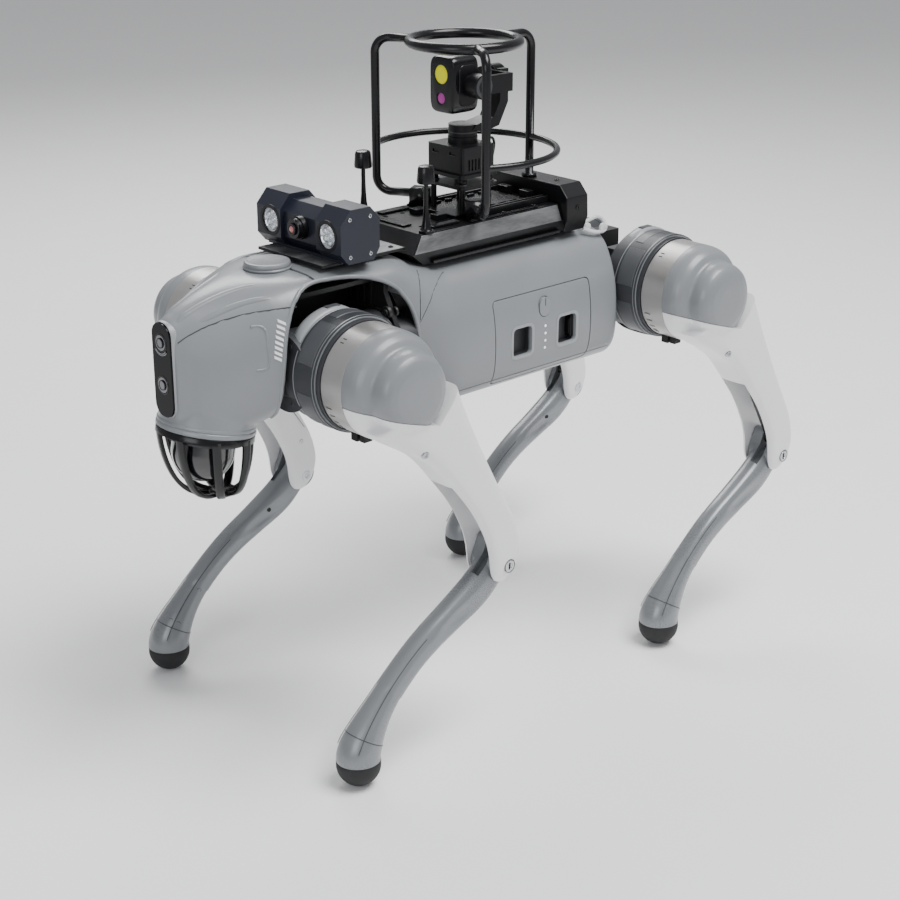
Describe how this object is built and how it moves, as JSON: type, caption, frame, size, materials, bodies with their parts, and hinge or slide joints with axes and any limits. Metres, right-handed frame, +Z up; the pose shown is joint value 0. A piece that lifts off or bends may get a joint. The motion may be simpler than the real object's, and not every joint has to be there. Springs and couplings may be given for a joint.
{
  "type": "quadruped robot with payload tray and gimbal camera",
  "caption": "Four-legged walking robot: rounded trunk, parallelogram-driven knees, rubber feet, caged lidar under the head, payload tray, searchlight and guarded gimbal camera.",
  "frame": {"origin": "on the floor under the middle of the standing robot's length and width, so the four rubber feet touch z = 0", "axes": "+X forward towards the head, +Y to the robot's left, +Z up"},
  "size_m": [0.6437, 0.336, 0.5919],
  "materials": {
    "shell_grey": "satin blue-grey moulded shell",
    "shell_white": "satin white moulded shell",
    "housing_dark": "dark charcoal, fine texture",
    "motor_alloy": "machined motor ring",
    "shin_grey": "satin grey paint",
    "rubber_black": "matt moulded rubber",
    "face_gloss": "gloss black",
    "lens_dark": "coated dark lens",
    "frame_black": "black frame",
    "cage_black": "black powder coat",
    "tray_black": "black anodised look",
    "lamp_navy": "blue-black cast lamp body",
    "reflector": "bright lamp reflector",
    "board_green": "printed circuit board",
    "gimbal_black": "black gimbal parts",
    "lidar_smoke": "smoked dome",
    "link_black": "black oxide link"
  },
  "bodies": {
    "trunk": {"trunk_shell": "shell_grey", "belly_pan": "housing_dark", "chassis_frame": "frame_black", "head_shell": "shell_grey", "face_plate": "face_gloss", "face_lenses": "lens_dark", "head_top_cap": "shell_grey", "lidar_guard": "cage_black", "lidar_body": "lidar_smoke", "abduction_motors": "motor_alloy", "control_board": "board_green", "payload_tray": "tray_black", "tray_rails": "tray_black", "tray_rear_cover": "tray_black", "lamp_housing": "lamp_navy", "lamp_lenses": "reflector", "lamp_camera": "gimbal_black", "antennas": "tray_black", "gimbal_guard": "cage_black", "gimbal_base": "gimbal_black"},
    "battery": {"battery_pack": "shell_grey"},
    "battery_button": {"battery_button": "shell_grey"},
    "latch_front": {"battery_latch_front": "frame_black"},
    "latch_rear": {"battery_latch_rear": "frame_black"},
    "lidar_rotor": {"lidar_rotor": "frame_black"},
    "gimbal_yaw": {"gimbal_yaw_arm": "gimbal_black"},
    "gimbal_roll": {"gimbal_roll_arm": "gimbal_black"},
    "gimbal_camera": {"gimbal_camera": "gimbal_black"},
    "front_left_hip": {"front_left_hip_housing": "housing_dark"},
    "front_left_thigh": {"front_left_thigh_shell": "shell_white", "front_left_thigh_cap": "shell_grey", "front_left_knee_motor": "motor_alloy"},
    "front_left_crank": {"front_left_knee_crank": "link_black"},
    "front_left_rod": {"front_left_knee_rod": "link_black"},
    "front_left_calf": {"front_left_calf": "shin_grey", "front_left_foot": "rubber_black"},
    "front_right_hip": {"front_right_hip_housing": "housing_dark"},
    "front_right_thigh": {"front_right_thigh_shell": "shell_white", "front_right_thigh_cap": "shell_grey", "front_right_knee_motor": "motor_alloy"},
    "front_right_crank": {"front_right_knee_crank": "link_black"},
    "front_right_rod": {"front_right_knee_rod": "link_black"},
    "front_right_calf": {"front_right_calf": "shin_grey", "front_right_foot": "rubber_black"},
    "rear_left_hip": {"rear_left_hip_housing": "housing_dark"},
    "rear_left_thigh": {"rear_left_thigh_shell": "shell_white", "rear_left_thigh_cap": "shell_grey", "rear_left_knee_motor": "motor_alloy"},
    "rear_left_crank": {"rear_left_knee_crank": "link_black"},
    "rear_left_rod": {"rear_left_knee_rod": "link_black"},
    "rear_left_calf": {"rear_left_calf": "shin_grey", "rear_left_foot": "rubber_black"},
    "rear_right_hip": {"rear_right_hip_housing": "housing_dark"},
    "rear_right_thigh": {"rear_right_thigh_shell": "shell_white", "rear_right_thigh_cap": "shell_grey", "rear_right_knee_motor": "motor_alloy"},
    "rear_right_crank": {"rear_right_knee_crank": "link_black"},
    "rear_right_rod": {"rear_right_knee_rod": "link_black"},
    "rear_right_calf": {"rear_right_calf": "shin_grey", "rear_right_foot": "rubber_black"}
  },
  "joints": [
    {"name": "front_left_abduction", "type": "hinge", "parent": "trunk", "child": "front_left_hip", "pos_m": [0.1871, 0.0465, 0.34648], "axis": [-1, 0, 0], "range_deg": [-35, 35]},
    {"name": "front_left_hip_pitch", "type": "hinge", "parent": "front_left_hip", "child": "front_left_thigh", "pos_m": [0.1871, 0.105, 0.34648], "axis": [0, 1, 0], "range_deg": [-110, 40]},
    {"name": "front_left_knee", "type": "hinge", "parent": "front_left_thigh", "child": "front_left_calf", "pos_m": [0.08015, 0.142, 0.16227], "axis": [0, 1, 0], "range_deg": [-78, 30]},
    {"name": "front_left_crank_turn", "type": "hinge", "parent": "front_left_thigh", "child": "front_left_crank", "pos_m": [0.1871, 0.138, 0.34648], "axis": [0, 1, 0], "range_deg": [-78, 30]},
    {"name": "front_left_rod_swing", "type": "hinge", "parent": "front_left_crank", "child": "front_left_rod", "pos_m": [0.1871, 0.145, 0.36248], "axis": [0, 1, 0], "range_deg": [-30, 78]},
    {"name": "front_right_abduction", "type": "hinge", "parent": "trunk", "child": "front_right_hip", "pos_m": [0.1871, -0.0465, 0.34648], "axis": [-1, 0, 0], "range_deg": [-35, 35]},
    {"name": "front_right_hip_pitch", "type": "hinge", "parent": "front_right_hip", "child": "front_right_thigh", "pos_m": [0.1871, -0.105, 0.34648], "axis": [0, 1, 0], "range_deg": [-110, 40]},
    {"name": "front_right_knee", "type": "hinge", "parent": "front_right_thigh", "child": "front_right_calf", "pos_m": [0.08015, -0.142, 0.16227], "axis": [0, 1, 0], "range_deg": [-78, 30]},
    {"name": "front_right_crank_turn", "type": "hinge", "parent": "front_right_thigh", "child": "front_right_crank", "pos_m": [0.1871, -0.138, 0.34648], "axis": [0, 1, 0], "range_deg": [-78, 30]},
    {"name": "front_right_rod_swing", "type": "hinge", "parent": "front_right_crank", "child": "front_right_rod", "pos_m": [0.1871, -0.145, 0.36248], "axis": [0, 1, 0], "range_deg": [-30, 78]},
    {"name": "rear_left_abduction", "type": "hinge", "parent": "trunk", "child": "rear_left_hip", "pos_m": [-0.1997, 0.0465, 0.34648], "axis": [-1, 0, 0], "range_deg": [-35, 35]},
    {"name": "rear_left_hip_pitch", "type": "hinge", "parent": "rear_left_hip", "child": "rear_left_thigh", "pos_m": [-0.1997, 0.105, 0.34648], "axis": [0, 1, 0], "range_deg": [-35, 110]},
    {"name": "rear_left_knee", "type": "hinge", "parent": "rear_left_thigh", "child": "rear_left_calf", "pos_m": [-0.30665, 0.142, 0.16227], "axis": [0, 1, 0], "range_deg": [-78, 30]},
    {"name": "rear_left_crank_turn", "type": "hinge", "parent": "rear_left_thigh", "child": "rear_left_crank", "pos_m": [-0.1997, 0.138, 0.34648], "axis": [0, 1, 0], "range_deg": [-78, 30]},
    {"name": "rear_left_rod_swing", "type": "hinge", "parent": "rear_left_crank", "child": "rear_left_rod", "pos_m": [-0.1997, 0.145, 0.36248], "axis": [0, 1, 0], "range_deg": [-30, 78]},
    {"name": "rear_right_abduction", "type": "hinge", "parent": "trunk", "child": "rear_right_hip", "pos_m": [-0.1997, -0.0465, 0.34648], "axis": [-1, 0, 0], "range_deg": [-35, 35]},
    {"name": "rear_right_hip_pitch", "type": "hinge", "parent": "rear_right_hip", "child": "rear_right_thigh", "pos_m": [-0.1997, -0.105, 0.34648], "axis": [0, 1, 0], "range_deg": [-35, 110]},
    {"name": "rear_right_knee", "type": "hinge", "parent": "rear_right_thigh", "child": "rear_right_calf", "pos_m": [-0.30665, -0.142, 0.16227], "axis": [0, 1, 0], "range_deg": [-78, 30]},
    {"name": "rear_right_crank_turn", "type": "hinge", "parent": "rear_right_thigh", "child": "rear_right_crank", "pos_m": [-0.1997, -0.138, 0.34648], "axis": [0, 1, 0], "range_deg": [-78, 30]},
    {"name": "rear_right_rod_swing", "type": "hinge", "parent": "rear_right_crank", "child": "rear_right_rod", "pos_m": [-0.1997, -0.145, 0.36248], "axis": [0, 1, 0], "range_deg": [-30, 78]},
    {"name": "battery_slide", "type": "slide", "parent": "trunk", "child": "battery", "axis": [0, 1, 0], "range_m": [0, 0.15]},
    {"name": "battery_button_press", "type": "slide", "parent": "battery", "child": "battery_button", "axis": [0, -1, 0], "range_m": [0, 0.001], "stiffness_N_per_m": 800},
    {"name": "latch_front_squeeze", "type": "slide", "parent": "battery", "child": "latch_front", "axis": [-1, 0, 0], "range_m": [0, 0.004], "stiffness_N_per_m": 600},
    {"name": "latch_rear_squeeze", "type": "slide", "parent": "battery", "child": "latch_rear", "axis": [1, 0, 0], "range_m": [0, 0.004], "stiffness_N_per_m": 600},
    {"name": "lidar_spin", "type": "hinge", "parent": "trunk", "child": "lidar_rotor", "pos_m": [0.2797, 0, 0.29648], "axis": [-0.2079, 0, 0.9781], "continuous": true},
    {"name": "gimbal_yaw_turn", "type": "hinge", "parent": "trunk", "child": "gimbal_yaw", "pos_m": [-0.0143, 0, 0.50648], "axis": [0, 0, 1], "range_deg": [-160, 160]},
    {"name": "gimbal_roll_turn", "type": "hinge", "parent": "gimbal_yaw", "child": "gimbal_roll", "pos_m": [-0.0483, 0, 0.55148], "axis": [1, 0, 0], "range_deg": [-40, 40]},
    {"name": "gimbal_pitch_turn", "type": "hinge", "parent": "gimbal_roll", "child": "gimbal_camera", "pos_m": [-0.0083, 0.024, 0.55148], "axis": [0, 1, 0], "range_deg": [-30, 90]}
  ],
  "couplings": [
    {"joint": "front_left_crank_turn", "follows": "front_left_knee", "ratio": 1},
    {"joint": "front_left_rod_swing", "follows": "front_left_knee", "ratio": -1},
    {"joint": "front_right_crank_turn", "follows": "front_right_knee", "ratio": 1},
    {"joint": "front_right_rod_swing", "follows": "front_right_knee", "ratio": -1},
    {"joint": "rear_left_crank_turn", "follows": "rear_left_knee", "ratio": 1},
    {"joint": "rear_left_rod_swing", "follows": "rear_left_knee", "ratio": -1},
    {"joint": "rear_right_crank_turn", "follows": "rear_right_knee", "ratio": 1},
    {"joint": "rear_right_rod_swing", "follows": "rear_right_knee", "ratio": -1}
  ]
}
